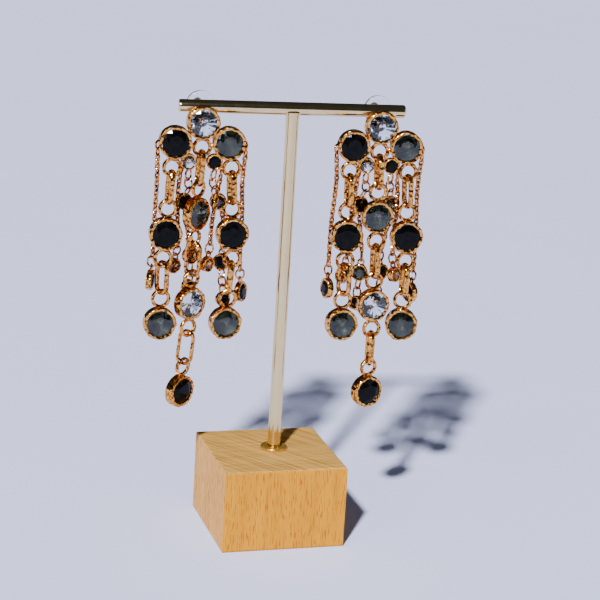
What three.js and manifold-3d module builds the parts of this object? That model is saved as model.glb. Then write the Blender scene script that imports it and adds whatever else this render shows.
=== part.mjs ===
// Pair of chandelier earrings hanging on a t-bar stand with a wooden block.
// Millimetres, +Z up. The origin is the middle of the block's underside, and the front is towards -Y.
import * as THREE from 'three';
import { mergeVertices } from 'three/addons/utils/BufferGeometryUtils.js';
import Module from 'manifold-3d';

const wasm = await Module();
wasm.setup();

// Stand
const blockSide = 45;
const blockHeight = 30;
const blockEdge = 0.7;
const rodRadius = 2.3;
const rodX = 1.4;
const rodY = 1.1;
const rodDepth = 12;
const rodSides = 12;
const barHeight = 155;
const barLength = 80;
const barRadius = 2.3;
const barEndRound = 0.7;
const barTurn = -5.9;
const weldRadius = 3.1;
const weldDrop = 3.2;
const collarRadius = 4.9;
const collarHeight = 1.2;
const collarRound = 0.4;

// Clearances: between pieces that fit together, and the play of a link in a ring
const fitGap = 0.3;
const linkPlay = 0.35;
const solderBite = 0.4;

// Large round settings and their stones
const settingRadius = 5.8;
const settingDepth = 3.4;
const settingWall = 0.8;
const settingLip = 1.15;
const settingSides = 12;
const tableShare = 0.55;
const stoneRise = 0.6;
const smallRise = 0.12;

// Rings soldered to the settings, and the oval links between them
const ringRadius = 2.85;
const ringWire = 0.65;
const linkLength = 13.2;
const linkEndRadius = 2.6;
const linkWire = 0.6;
const linkBreadth = 0.95;
const roundSides = 10;
const wireSides = 5;

// Top cluster: three large settings, two small ones, loops for the chains, and the ear post
const clusterPitch = 11.65;
const clusterSlope = 36.5;
const centreRingRise = 0.3;
const leftRingSplay = 5;
const rightRingSplay = 9;
const smallSettingX = 4.5;
const smallSettingRadius = 2.85;
const smallDepth = 2.0;
const smallSides = 10;
const loopRadius = 1.35;
const loopWire = 0.4;
const leftLoopTurn = 50;
const rightLoopTurn = 90;
const outerLoopDrop = 0.9;
const innerLoopX = 7.1;
const innerStrandBack = 0.8;
const solderRadius = 0.85;
const postRadius = 0.4;
const postRise = 4.9;
const postLength = 11.4;
const postHoleRadius = 0.8;
const postSides = 8;

// Clutch behind the bar: a clear disc on a metal barrel
const clutchDiscRadius = 5.05;
const clutchDiscThickness = 1.5;
const clutchBarrelRadius = 1.5;
const clutchBarrelLength = 5;
const clutchSides = 12;

// Fine chains and the small drops on them
const chainWidth = 1.9;
const chainSides = 8;
const chainStep = 5.6;
const dropDepth = 2;
const outerDropRadius = 3.6;
const innerDropRadius = 2.8;
const middleDropRadius = 3;
const endDropRadius = 2.6;

// How far in from its end of the bar each earring hangs, and how far it is turned
const leftInset = 8.2;
const rightInset = 9.1;
const leftTurn = 2;
const rightTurn = 0;

// Sizes that follow from those above
const leftHang = leftInset - barLength / 2;
const rightHang = barLength / 2 - rightInset;
const ringOuter = ringRadius + ringWire;
const ringInner = ringRadius - ringWire;
const loopOuter = loopRadius + loopWire;
const settingToRing = settingRadius + ringOuter - solderBite;
const ringToRing = linkLength + 2 * (ringInner - 2 * linkWire - linkPlay);
const slope = THREE.MathUtils.degToRad(clusterSlope);
const sideX = clusterPitch * Math.cos(slope);
const sideZ = -clusterPitch * Math.sin(slope);
const clusterBack = barRadius + fitGap + settingDepth / 2;
const frontY = -settingDepth / 2;

const gold = new THREE.MeshStandardMaterial({ color: '#c8905c', roughness: 0.24, metalness: 1 });
const brass = new THREE.MeshStandardMaterial({ color: '#b89a58', roughness: 0.22, metalness: 1 });
const wood = new THREE.MeshStandardMaterial({ color: '#c9a480', roughness: 0.7, metalness: 0 });
const clearPlastic = new THREE.MeshStandardMaterial({ color: '#e6ecee', roughness: 0.15, metalness: 0 });
const blackStone = new THREE.MeshStandardMaterial({ color: '#0c0c0e', roughness: 0.05, metalness: 0 });
const greyStone = new THREE.MeshStandardMaterial({ color: '#4b4b50', roughness: 0.05, metalness: 0 });
const clearStone = new THREE.MeshStandardMaterial({ color: '#dde1e4', roughness: 0.05, metalness: 0 });

function radians(degrees) {
  return THREE.MathUtils.degToRad(degrees);
}

// A closed three.js geometry becomes a solid that can be joined and cut
function toSolid(geometry) {
  const bare = geometry.clone();
  bare.deleteAttribute('normal');
  bare.deleteAttribute('uv');
  const merged = mergeVertices(bare, 1e-4);
  const mesh = new wasm.Mesh({
    numProp: 3,
    vertProperties: new Float32Array(merged.attributes.position.array),
    triVerts: new Uint32Array(merged.index.array),
  });
  return new wasm.Manifold(mesh);
}

function toGeometry(solid) {
  const mesh = solid.getMesh();
  const geometry = new THREE.BufferGeometry();
  geometry.setAttribute('position', new THREE.BufferAttribute(mesh.vertProperties, 3));
  geometry.setIndex(new THREE.BufferAttribute(mesh.triVerts, 1));
  geometry.computeVertexNormals();
  return geometry;
}

function join(geometries) {
  let whole = toSolid(geometries[0]);
  for (const geometry of geometries.slice(1)) {
    whole = whole.add(toSolid(geometry));
  }
  return toGeometry(whole);
}

function cut(body, tools) {
  let whole = toSolid(body);
  for (const tool of tools) {
    whole = whole.subtract(toSolid(tool));
  }
  return toGeometry(whole);
}

// A copy of a geometry, turned about the upright axis, leaned sideways and moved
function placed(geometry, at, turn = 0, lean = 0) {
  const rotation = new THREE.Euler(0, -radians(lean), radians(turn));
  const matrix = new THREE.Matrix4().makeRotationFromEuler(rotation).setPosition(...at);
  return geometry.clone().applyMatrix4(matrix);
}

// A round body about the Y axis, from a profile of radius and depth; the front is towards -Y
function turned(profile, sides) {
  const points = profile.map(([radius, depth]) => new THREE.Vector2(radius, depth));
  return new THREE.LatheGeometry(points, sides);
}

// The same round body about the Z axis
function turnedUpright(profile, sides) {
  return turned(profile, sides).rotateX(Math.PI / 2);
}

// A wire ring that faces -Y, with a corner at its top and at its bottom
function wireRing(radius, wire) {
  return new THREE.TorusGeometry(radius, wire, wireSides, roundSides)
    .rotateZ(Math.PI / 2)
    .rotateX(Math.PI / 2);
}

// An oval link: a ring whose two halves are drawn apart, of wire that is broader than it is thick
function ovalLink(length, endRadius, wire) {
  const geometry = wireRing(endRadius, wire);
  const half = length / 2 - endRadius - wire;
  const position = geometry.attributes.position;
  for (let i = 0; i < position.count; i += 1) {
    const z = position.getZ(i);
    position.setZ(i, z + Math.sign(z) * half);
  }
  return geometry.scale(1, linkBreadth / linkWire, 1);
}

// The open metal collet of a large stone: outer wall, and a lip that leans over the stone
function collet() {
  const back = settingDepth / 2;
  const profile = [
    [settingRadius - settingWall, back],
    [settingRadius - settingLip, frontY + settingWall / 4],
    [settingRadius - settingWall / 2, frontY],
    [settingRadius, frontY + settingWall / 2],
    [settingRadius, back],
    [settingRadius - settingWall, back],
  ];
  return turned(profile, settingSides);
}

// A round cut stone: flat table, sloping crown facets, girdle and pavilion
function roundStone() {
  const lip = settingRadius - settingLip - fitGap;
  const girdle = settingRadius - settingWall - fitGap;
  const profile = [
    [0, frontY - stoneRise],
    [lip * tableShare, frontY - stoneRise],
    [lip, frontY + settingWall / 4],
    [girdle, settingDepth / 4],
    [0, settingDepth / 2 - fitGap],
  ];
  return turned(profile, settingSides);
}

// A small stone in its cup, in one body, with a table and sloping facets
function smallStone(radius, depth) {
  const profile = [
    [0, -depth / 2 - radius * smallRise],
    [radius * tableShare, -depth / 2 - radius * smallRise],
    [radius, -depth / 2 + radius * smallRise],
    [radius, depth / 2],
    [0, depth / 2],
  ];
  return turned(profile, smallSides);
}

function addMesh(parent, name, geometry, material, at = [0, 0, 0], turn = 0, lean = 0) {
  const mesh = new THREE.Mesh(toGeometry(toSolid(geometry)), material);
  mesh.name = name;
  mesh.position.set(...at);
  mesh.rotation.set(0, -radians(lean), radians(turn));
  parent.add(mesh);
}

// Wooden block with softened edges and a blind hole for the rod
function block() {
  const half = blockSide / 2 - blockEdge;
  const outline = new THREE.Shape();
  outline.moveTo(-half, -half);
  outline.lineTo(half, -half);
  outline.lineTo(half, half);
  outline.lineTo(-half, half);
  outline.closePath();
  const body = new THREE.ExtrudeGeometry(outline, {
    depth: blockHeight - 2 * blockEdge,
    bevelThickness: blockEdge,
    bevelSize: blockEdge,
    bevelSegments: 2,
  });
  body.translate(0, 0, blockEdge);
  const holeDepth = rodDepth + fitGap;
  const hole = new THREE.CylinderGeometry(rodRadius + fitGap, rodRadius + fitGap, 2 * holeDepth, rodSides);
  hole.rotateX(Math.PI / 2);
  hole.translate(rodX, rodY, blockHeight);
  return cut(body, [hole]);
}

// Round flange that closes the gap between rod and block
function collar() {
  const bore = rodRadius + fitGap;
  const profile = [
    [bore, 0],
    [collarRadius, 0],
    [collarRadius, collarHeight - collarRound],
    [collarRadius - collarRound, collarHeight],
    [bore, collarHeight],
    [bore, 0],
  ];
  return turnedUpright(profile, rodSides);
}

// Rod and crossbar welded into one piece, drilled for the two ear posts
function tBar() {
  const rodBottom = blockHeight - rodDepth;
  const rodHeight = barHeight - rodBottom;
  const rod = new THREE.CylinderGeometry(rodRadius, rodRadius, rodHeight, rodSides).rotateX(Math.PI / 2);
  rod.translate(0, 0, rodBottom + rodHeight / 2);
  const half = barLength / 2;
  const bar = turned([
    [0, -half],
    [barRadius - barEndRound, -half],
    [barRadius, -half + barEndRound],
    [barRadius, half - barEndRound],
    [barRadius - barEndRound, half],
    [0, half],
  ], rodSides).rotateZ(Math.PI / 2);
  bar.translate(0, 0, barHeight);
  const weld = turnedUpright([
    [0, 0],
    [weldRadius, 0],
    [rodRadius, weldDrop],
    [0, weldDrop],
  ], rodSides).rotateX(Math.PI);
  weld.translate(0, 0, barHeight - barRadius / 2);
  const holes = [leftHang, rightHang].map((x) => {
    const hole = new THREE.CylinderGeometry(postHoleRadius, postHoleRadius, 4 * barRadius, roundSides);
    return hole.translate(x, 0, barHeight);
  });
  return cut(join([rod, bar, weld]), holes);
}

// Where each loop of the cluster is centred, in the plane of the settings
const outerLoopX = sideX + settingRadius + loopWire / 2;
const outerLoopZ = sideZ - outerLoopDrop;
const smallReach = settingRadius + smallSettingRadius - solderBite;
const smallSettingZ = sideZ - Math.sqrt(smallReach ** 2 - (sideX - smallSettingX) ** 2);
const innerLoopZ = smallSettingZ - smallSettingRadius;
const centreRingZ = -settingToRing + centreRingRise;
const sideRings = {
  '-1': below([-sideX, 0, sideZ], settingToRing, -leftRingSplay),
  '1': below([sideX, 0, sideZ], settingToRing, rightRingSplay),
};

// Everything soldered together at the top of one earring, with its post
function cluster() {
  const loop = wireRing(loopRadius, loopWire);
  const ring = wireRing(ringRadius, ringWire);
  const solder = new THREE.IcosahedronGeometry(solderRadius, 0);
  const post = new THREE.CylinderGeometry(postRadius, postRadius, postLength, postSides);
  const pieces = [
    collet(),
    placed(ring, [0, 0, centreRingZ]),
    post.translate(0, postLength / 2 + settingDepth / 2 - fitGap, postRise),
  ];
  for (const side of [-1, 1]) {
    pieces.push(placed(collet(), [side * sideX, 0, sideZ]));
    pieces.push(placed(ring, sideRings[side]));
    pieces.push(placed(smallStone(smallSettingRadius, smallDepth), [side * smallSettingX, 0, smallSettingZ]));
    const loopTurn = side < 0 ? leftLoopTurn : rightLoopTurn;
    pieces.push(placed(loop, [side * outerLoopX, 0, outerLoopZ], loopTurn));
    pieces.push(placed(loop, [side * innerLoopX, 0, innerLoopZ], loopTurn));
    const neighbours = [
      [0, 0, settingRadius],
      [0, centreRingZ, ringOuter],
    ];
    for (const [x, z, radius] of neighbours) {
      const reach = settingRadius / (settingRadius + radius);
      const solderX = sideX + (x - sideX) * reach;
      const solderZ = sideZ + (z - sideZ) * reach;
      pieces.push(placed(solder, [side * solderX, 0, solderZ]));
    }
  }
  return join(pieces);
}

// Disc and barrel of the clutch in one round body, bored for the post
function clutch() {
  const bore = postRadius + fitGap;
  const profile = [
    [bore, 0],
    [clutchDiscRadius - clutchDiscThickness / 4, 0],
    [clutchDiscRadius, clutchDiscThickness / 2],
    [clutchDiscRadius - clutchDiscThickness / 4, clutchDiscThickness],
    [clutchBarrelRadius, clutchDiscThickness],
    [clutchBarrelRadius, clutchDiscThickness + clutchBarrelLength],
    [bore, clutchDiscThickness + clutchBarrelLength],
    [bore, 0],
  ];
  return turned(profile, clutchSides);
}

// A collet with a ring soldered above it, and one below where something hangs from it
function setting(withLowerRing) {
  const ring = wireRing(ringRadius, ringWire);
  const pieces = [collet(), placed(ring, [0, 0, settingToRing])];
  if (withLowerRing) {
    pieces.push(placed(ring, [0, 0, -settingToRing]));
  }
  return pieces;
}

// A point a given way down from another, leaning sideways by some degrees
function below(point, distance, lean) {
  return [
    point[0] + distance * Math.sin(radians(lean)),
    point[1],
    point[2] - distance * Math.cos(radians(lean)),
  ];
}

// Middle column: separate links, settings and stones
function middleColumn(parent, name, rows) {
  let ringAt = [0, 0, centreRingZ];
  for (const row of rows) {
    const linkAt = below(ringAt, ringToRing / 2, row.lean);
    const topRing = below(ringAt, ringToRing, row.lean);
    const stoneAt = below(topRing, settingToRing, row.lean);
    const link = ovalLink(linkLength, linkEndRadius, linkWire);
    addMesh(parent, `${name}_${row.piece}_link`, link, gold, linkAt, row.linkTurn, row.lean);
    const metal = join(setting(row.ringBelow));
    addMesh(parent, `${name}_${row.piece}_setting`, metal, gold, stoneAt, row.turn, row.lean);
    addMesh(parent, `${name}_${row.piece}_stone`, roundStone(), row.stone, stoneAt, row.turn, row.lean);
    ringAt = below(stoneAt, settingToRing, row.lean);
  }
}

// Side column: each link is closed onto the setting below it and makes one body with it
function sideColumn(parent, name, side, rows) {
  let ringAt = sideRings[side];
  const bondedLength = linkLength - linkPlay - linkWire / 2;
  for (const row of rows) {
    const stoneAt = below(ringAt, ringToRing + settingToRing, row.lean);
    const linkUp = settingToRing + ringToRing / 2 + (linkLength - bondedLength) / 2;
    const link = ovalLink(bondedLength, linkEndRadius, linkWire);
    const pieces = setting(row.ringBelow);
    pieces.push(placed(link, [0, 0, linkUp], row.linkTurn - row.turn));
    addMesh(parent, `${name}_${row.piece}_setting`, join(pieces), gold, stoneAt, row.turn, row.lean);
    addMesh(parent, `${name}_${row.piece}_stone`, roundStone(), row.stone, stoneAt, row.turn, row.lean);
    ringAt = below(stoneAt, settingToRing, row.lean);
  }
}

// A fine chain with its small stones, in one body. The chain is a tube along a curve through the
// route's points, and the stones sit on the points that the table names, each in a turned cup.
function strand(route, stones) {
  const points = route.map((p) => new THREE.Vector3(...p));
  const curve = new THREE.CatmullRomCurve3(points, false, 'catmullrom', 0.5);
  const last = route.length - 1;
  const pieces = [];
  let from = 0;
  let trimFrom = 0;
  for (const stone of stones) {
    const to = stone.at / last;
    const tangent = curve.getTangent(to);
    const lean = THREE.MathUtils.radToDeg(Math.atan2(tangent.x, -tangent.z));
    pieces.push(chainTube(curve, from, to, trimFrom, stone.radius - 2 * solderBite));
    pieces.push(placed(smallStone(stone.radius, dropDepth), route[stone.at], stone.turn, lean));
    from = to;
    trimFrom = stone.radius - 2 * solderBite;
  }
  return join(pieces);
}

// The stretch of a curve between two of its parameters, less a trim in millimetres at each end
function chainTube(curve, from, to, trimFrom, trimTo) {
  const samples = 240;
  const start = curve.getPoint(from);
  const end = curve.getPoint(to);
  const kept = [];
  for (let i = 0; i <= samples; i += 1) {
    const point = curve.getPoint(from + (to - from) * i / samples);
    if (point.distanceTo(start) >= trimFrom && point.distanceTo(end) >= trimTo) {
      kept.push(point);
    }
  }
  const path = new THREE.CatmullRomCurve3(kept);
  const steps = Math.ceil(path.getLength() / chainStep);
  const outline = new THREE.Shape();
  for (let i = 0; i < chainSides; i += 1) {
    const angle = 2 * Math.PI * i / chainSides;
    const x = chainWidth / 2 * Math.cos(angle);
    const y = chainWidth / 2 * Math.sin(angle);
    if (i === 0) {
      outline.moveTo(x, y);
    } else {
      outline.lineTo(x, y);
    }
  }
  outline.closePath();
  return new THREE.ExtrudeGeometry(outline, { steps, extrudePath: path, bevelEnabled: false });
}

// Where each kind of strand starts, just under what it hangs from
const strandTop = {
  outer: [outerLoopX, 0, outerLoopZ - loopOuter - fitGap],
  inner: [innerLoopX, innerStrandBack, innerLoopZ - loopOuter - fitGap],
  small: [smallSettingX, 0, smallSettingZ - smallSettingRadius - fitGap],
};

function top(kind, side) {
  const [x, y, z] = strandTop[kind];
  return [side * x, y, z];
}

// Routes of the strands, from the middle of the top setting: sideways, back, up
const rightRoutes = {
  outer_left: [top('outer', -1), [-14.6, 1, -19.6], [-15, 3.1, -34.5], [-15.1, 3.1, -45.4], [-15.5, 1.2, -58.6]],
  inner_left: [top('inner', -1), [-7.5, 1.2, -23.2], [-8.2, 1.8, -29.6], [-8, 3.4, -35.5],
    [-8.2, 4.4, -46.6], [-9.2, 6.4, -55.4]],
  small_left: [top('small', -1), [-3.8, 1.8, -22.4], [-4.9, 4.4, -28.6], [-4.2, 3.8, -38.1],
    [-3.2, 3.4, -46.5], [-3.6, 3.4, -53.2], [-4.2, 3.4, -64.6]],
  small_right: [top('small', 1), [5, 1.8, -22.3], [6.3, 4.4, -28.4], [5.2, 3.8, -38],
    [3.7, 4, -47.3], [4.4, 4.6, -53.2], [3.3, 3.6, -63.9]],
  inner_right: [top('inner', 1), [7.7, 1.2, -23], [8, 1.6, -29.6], [8.1, 3.4, -36],
    [7.8, 2.2, -46.6], [8.4, 0.1, -53]],
  outer_right: [top('outer', 1), [14.8, 1, -21.9], [15.8, 3.1, -33.3], [16.1, 3.1, -48.7], [15.6, 3.6, -60.5]],
};

const leftRoutes = {
  outer_left: [top('outer', -1), [-15.1, 1, -20.6], [-15.1, 3.1, -33.9], [-15.2, 3.1, -45.3], [-15.9, 2.3, -56.3]],
  inner_left: [top('inner', -1), [-7.5, 1.3, -23.6], [-7.4, 1.6, -29.2], [-6.9, 3.5, -35.3],
    [-6.2, 4.6, -43.7], [-7.4, 6, -52.1]],
  small_left: [top('small', -1), [-4, 1.8, -23.6], [-4.8, 4.2, -28.6], [-3.4, 4, -37.6],
    [-2.4, 4.2, -41.9], [-1.6, 4.6, -48], [-1.9, 4.4, -59.4]],
  small_right: [top('small', 1), [4.8, 1.8, -22.1], [7.3, 4.6, -28.6], [9.2, 4.6, -34.2],
    [9.5, 4.6, -42.1], [9.7, 5.4, -50.6], [10.6, 4.4, -64]],
  inner_right: [top('inner', 1), [6.7, 0.8, -21.2], [5.6, 0.6, -28.6], [4.8, 1.2, -36],
    [4.6, 1.4, -42.2], [3.8, 1, -50.3]],
  outer_right: [top('outer', 1), [14.9, 1, -21.6], [15.8, 3.1, -32.8], [15.9, 3.4, -49.1], [16.8, 3.8, -61]],
};

// The stones on a strand: the route point that each one hangs at, its radius and its turn
function strandStones(key, turns) {
  if (key.startsWith('outer')) {
    return [{ at: 4, radius: outerDropRadius, turn: turns[0] }];
  }
  if (key.startsWith('inner')) {
    return [{ at: 5, radius: innerDropRadius, turn: turns[0] }];
  }
  return [
    { at: 2, radius: middleDropRadius, turn: turns[0] },
    { at: 5, radius: middleDropRadius, turn: turns[1] },
    { at: 6, radius: endDropRadius, turn: turns[2] },
  ];
}

function strands(parent, name, routes, turns) {
  for (const [key, route] of Object.entries(routes)) {
    const body = strand(route, strandStones(key, turns[key]));
    addMesh(parent, `${name}_${key}_strand`, body, gold);
  }
}

// How the pieces of each earring hang: turned about the upright axis and leaning, in degrees
const rightEarring = {
  middle: [
    { piece: 'middle', linkTurn: -84, turn: 0, lean: 1.8, ringBelow: true, stone: greyStone },
    { piece: 'lower', linkTurn: -82, turn: 8, lean: 0.8, ringBelow: true, stone: clearStone },
    { piece: 'bottom', linkTurn: -88, turn: 22, lean: -0.6, ringBelow: false, stone: blackStone },
  ],
  left: [
    { piece: 'left_upper', linkTurn: -84, turn: 0, lean: 0.6, ringBelow: true, stone: blackStone },
    { piece: 'left_lower', linkTurn: -58, turn: 4, lean: 0, ringBelow: false, stone: greyStone },
  ],
  right: [
    { piece: 'right_upper', linkTurn: -78, turn: 0, lean: 2.6, ringBelow: true, stone: blackStone },
    { piece: 'right_lower', linkTurn: -86, turn: -8, lean: 0, ringBelow: false, stone: greyStone },
  ],
  turns: {
    outer_left: [-75],
    inner_left: [-60],
    small_left: [10, -10, -30],
    small_right: [10, 30, 10],
    inner_right: [40],
    outer_right: [-70],
  },
};

const leftEarring = {
  middle: [
    { piece: 'middle', linkTurn: -84, turn: 42, lean: -2.4, ringBelow: true, stone: greyStone },
    { piece: 'lower', linkTurn: -40, turn: 28, lean: -1.4, ringBelow: true, stone: clearStone },
    { piece: 'bottom', linkTurn: -36, turn: 38, lean: -5, ringBelow: false, stone: blackStone },
  ],
  left: [
    { piece: 'left_upper', linkTurn: -84, turn: 0, lean: -3.4, ringBelow: true, stone: blackStone },
    { piece: 'left_lower', linkTurn: -60, turn: 4, lean: -0.8, ringBelow: false, stone: greyStone },
  ],
  right: [
    { piece: 'right_upper', linkTurn: -80, turn: 4, lean: 3, ringBelow: true, stone: blackStone },
    { piece: 'right_lower', linkTurn: 84, turn: 6, lean: -3.6, ringBelow: false, stone: greyStone },
  ],
  turns: {
    outer_left: [70],
    inner_left: [30],
    small_left: [10, 20, 20],
    small_right: [-10, -40, 10],
    inner_right: [40],
    outer_right: [54],
  },
};

// One earring, from the middle of its top setting
function earring(parent, name, hangX, turn, spec, routes) {
  const group = new THREE.Group();
  group.position.set(hangX, -clusterBack, barHeight - postHoleRadius + postRadius + fitGap - postRise);
  group.rotation.z = radians(turn);
  parent.add(group);
  addMesh(group, `${name}_cluster`, cluster(), gold);
  addMesh(group, `${name}_top_stone`, roundStone(), clearStone);
  addMesh(group, `${name}_top_left_stone`, roundStone(), blackStone, [-sideX, 0, sideZ]);
  addMesh(group, `${name}_top_right_stone`, roundStone(), greyStone, [sideX, 0, sideZ]);
  const clutchAt = [0, clusterBack + barRadius + 2 * fitGap, postRise];
  addMesh(group, `${name}_clutch`, clutch(), clearPlastic, clutchAt);
  middleColumn(group, name, spec.middle);
  sideColumn(group, name, -1, spec.left);
  sideColumn(group, name, 1, spec.right);
  strands(group, name, routes, spec.turns);
}

const model = new THREE.Group();
addMesh(model, 'wood_block', block(), wood);
const upright = new THREE.Group();
upright.position.set(rodX, rodY, 0);
upright.rotation.z = radians(barTurn);
model.add(upright);
addMesh(upright, 'collar', collar(), brass, [0, 0, blockHeight]);
addMesh(upright, 't_bar', tBar(), brass);
earring(upright, 'left', leftHang, leftTurn, leftEarring, leftRoutes);
earring(upright, 'right', rightHang, rightTurn, rightEarring, rightRoutes);

export default model;
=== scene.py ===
# Pair of chandelier earrings hanging on a t-bar stand with a wooden block.
# Sizes are in millimetres and angles in degrees, and are converted where they are used.
import math

import bmesh
import bpy
from mathutils import Matrix, Vector, noise


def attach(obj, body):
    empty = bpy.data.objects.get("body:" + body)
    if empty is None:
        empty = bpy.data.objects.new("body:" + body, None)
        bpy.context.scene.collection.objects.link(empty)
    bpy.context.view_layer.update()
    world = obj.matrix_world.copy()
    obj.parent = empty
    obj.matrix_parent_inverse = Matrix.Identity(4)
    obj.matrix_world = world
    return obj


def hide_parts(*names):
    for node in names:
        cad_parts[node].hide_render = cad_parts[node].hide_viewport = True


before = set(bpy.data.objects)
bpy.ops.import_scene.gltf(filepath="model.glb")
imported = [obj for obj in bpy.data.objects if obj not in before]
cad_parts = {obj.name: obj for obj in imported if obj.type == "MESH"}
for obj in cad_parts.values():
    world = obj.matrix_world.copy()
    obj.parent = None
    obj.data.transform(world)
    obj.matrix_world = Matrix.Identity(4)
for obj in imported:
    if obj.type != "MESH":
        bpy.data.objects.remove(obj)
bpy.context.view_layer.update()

MM = 0.001
FIT_GAP = 0.3

# Stand
BLOCK_HEIGHT = 30
ROD_RADIUS = 2.3
ROD_AT = (1.4, 1.1)
ROD_DEPTH = 12
ROD_END_ROUND = 0.2
BAR_HEIGHT = 155
BAR_LENGTH = 80
BAR_TURN = -5.9
BAR_END_ROUND = 0.7
WELD_RADIUS = 3.1
WELD_DROP = 3.2
WELD_STEPS = 8
COLLAR_RADIUS = 4.9
COLLAR_HEIGHT = 1.2
COLLAR_BEAD = 0.6
COLLAR_DISH = 0.4
COLLAR_CURL = 160
COLLAR_STEPS = 10
POST_HOLE_RADIUS = 0.8

# Large settings, rings and links
SETTING_RADIUS = 5.8
SETTING_DEPTH = 3.4
SETTING_WALL = 0.8
SETTING_LIP = 1.15
STONE_RISE = 0.6
TABLE_SHARE = 0.55
STAR_SHARE = 0.5
FACETS = 8
GIRDLE_UNDER_LIP = 0.15
GIRDLE_SETBACK = 0.35
RING_RADIUS = 2.85
RING_WIRE = 0.65
LINK_LENGTH = 13.2
LINK_END_RADIUS = 2.6
LINK_WIRE = 0.6
LINK_BREADTH = 0.95
LINK_PLAY = 0.35
LINK_SIDES = 14
HAMMER_DEPTH = 0.2
HAMMER_PITCH = 1.6
SOLDER_BITE = 0.4

# Bezels: shares of the wall or of the roll of the lip, a length, and the steps of the roll
LIP_TAPER = 0.9
LIP_EDGE = 0.1
LIP_SLANT = 0.2
BACK_BEVEL = 0.2
LIP_FORWARD = 0.1
ROLL_STEPS = 6

# Uneven edge of a bezel. The pairs hold the share at the back and what the front adds to it,
# of the radius and of the hammering. Each wave has its number, height and share of the phase.
EDGE_REACH = 0.6
EDGE_UNEVEN = (0.006, 0.016)
EDGE_HAMMER = (0.3, 0.5)
EDGE_WAVES = [(5, 1, 1), (9, 0.6, -2), (16, 0.55, 3)]
TOP_PHASE = 0.4
SIDE_PHASE = 1.9
MIDDLE_PHASE_STEP = 0.9
COLUMN_PHASE_STEP = 1.3

# Top cluster, post and clutch
CLUSTER_PITCH = 11.65
CLUSTER_SLOPE = 36.5
CENTRE_RING_RISE = 0.3
LEFT_RING_SPLAY = 5
RIGHT_RING_SPLAY = 9
SMALL_SETTING_X = 4.5
SMALL_SETTING_RADIUS = 2.85
LOOP_RADIUS = 1.35
LOOP_WIRE = 0.4
LEFT_LOOP_TURN = 50
RIGHT_LOOP_TURN = 90
OUTER_LOOP_DROP = 0.9
INNER_LOOP_X = 7.1
INNER_STRAND_BACK = 0.8
SOLDER_RADIUS = 0.85
SOLDER_STEPS = 16
POST_RADIUS = 0.4
POST_RISE = 4.9
POST_LENGTH = 11.4
POST_TIP = 0.3
POST_TAPER = 0.15
POST_STEPS = 16
DISC_RADIUS = 5.05
DISC_THICKNESS = 1.5
DISC_EDGE_STEPS = 8
CLUTCH_GAP = 0.1
BARREL_RADIUS = 1.5
BARREL_LENGTH = 5
BARREL_START = 0.05
BARREL_BEVEL = 0.2
BARREL_END_BEVEL = 0.4
# Groove round the barrel: how deep, and how far behind the disc
BARREL_GROOVE = [(0, 0.6), (0.25, 0.9), (0.25, 1.3), (0, 1.6)]

# Small cups: shares of their radius, a share of their wall, and lengths
CUP_WALL = 0.16
CUP_LIP = 0.24
CUP_STONE_RISE = 0.12
PLATE_IN_WALL = 0.6
PLATE_THICKNESS = 0.35
SMALL_DEPTH = 2
SMALL_GIRDLE_UNDER_LIP = 0.1
SMALL_GIRDLE_SETBACK = 0.25
SMALL_CULET_GAP = 0.5

# Fine chains and drops
CHAIN_PITCH = 1.6
CHAIN_WIDTH = 2.1
CHAIN_WIRE = 0.34
CHAIN_TWIST = 42
CHAIN_STEPS = 14
CHAIN_SIDES = 6
CHAIN_BITE = 0.3
JUMP_PITCH = 3
JUMP_WIDTH = 3.8
JUMP_WIRE = 0.36
JUMP_TWIST = 45
JUMP_TURN = -60
JUMP_STEPS = 20
DROP_LOOP_WIDTH = 2.7
DROP_LOOP_SHARE = 0.38
DROP_LOOP_TURN = 20
DROP_LOOP_ROOM = 1.2
STRAND_START = -0.5
SPLINE_SAMPLES = 60
SHORTEST = 1e-6
DROP_RADIUS = {"outer": 3.6, "inner": 2.8, "middle": 3, "end": 2.6}
# Drops of the two small strands: point of the route, counted from its top, and size
SMALL_STOPS = [(2, "middle"), (5, "middle"), (6, "end")]

# Where the earrings hang along the bar, and how far each is turned
HANG = {"left": -31.8, "right": 30.9}
TURN = {"left": 2, "right": 0}

ROUND_STEPS = 72
ROD_STEPS = 48
HOLE_STEPS = 32
ROD_END_STEPS = 5
WIRE_STEPS = 10
OVAL_STEPS = 32
CREASE = 35

# Sizes that follow from those above
RING_OUTER = RING_RADIUS + RING_WIRE
RING_INNER = RING_RADIUS - RING_WIRE
LOOP_OUTER = LOOP_RADIUS + LOOP_WIRE
SETTING_TO_RING = SETTING_RADIUS + RING_OUTER - SOLDER_BITE
RING_TO_RING = LINK_LENGTH + 2 * (RING_INNER - 2 * LINK_WIRE - LINK_PLAY)
SLOPE = math.radians(CLUSTER_SLOPE)
SIDE_X = CLUSTER_PITCH * math.cos(SLOPE)
SIDE_Z = -CLUSTER_PITCH * math.sin(SLOPE)
CLUSTER_BACK = ROD_RADIUS + FIT_GAP + SETTING_DEPTH / 2
FRONT = -SETTING_DEPTH / 2
EARRING_Z = BAR_HEIGHT - POST_HOLE_RADIUS + POST_RADIUS + FIT_GAP - POST_RISE
OUTER_LOOP = (SIDE_X + SETTING_RADIUS + LOOP_WIRE / 2, SIDE_Z - OUTER_LOOP_DROP)
SMALL_REACH = SETTING_RADIUS + SMALL_SETTING_RADIUS - SOLDER_BITE
SMALL_Z = SIDE_Z - math.sqrt(SMALL_REACH ** 2 - (SIDE_X - SMALL_SETTING_X) ** 2)
INNER_LOOP = (INNER_LOOP_X, SMALL_Z - SMALL_SETTING_RADIUS)
CENTRE_RING_Z = -SETTING_TO_RING + CENTRE_RING_RISE
JUMP_ROOM = JUMP_PITCH + DROP_LOOP_ROOM
RING_SPLAY = {-1: -LEFT_RING_SPLAY, 1: RIGHT_RING_SPLAY}
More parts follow.
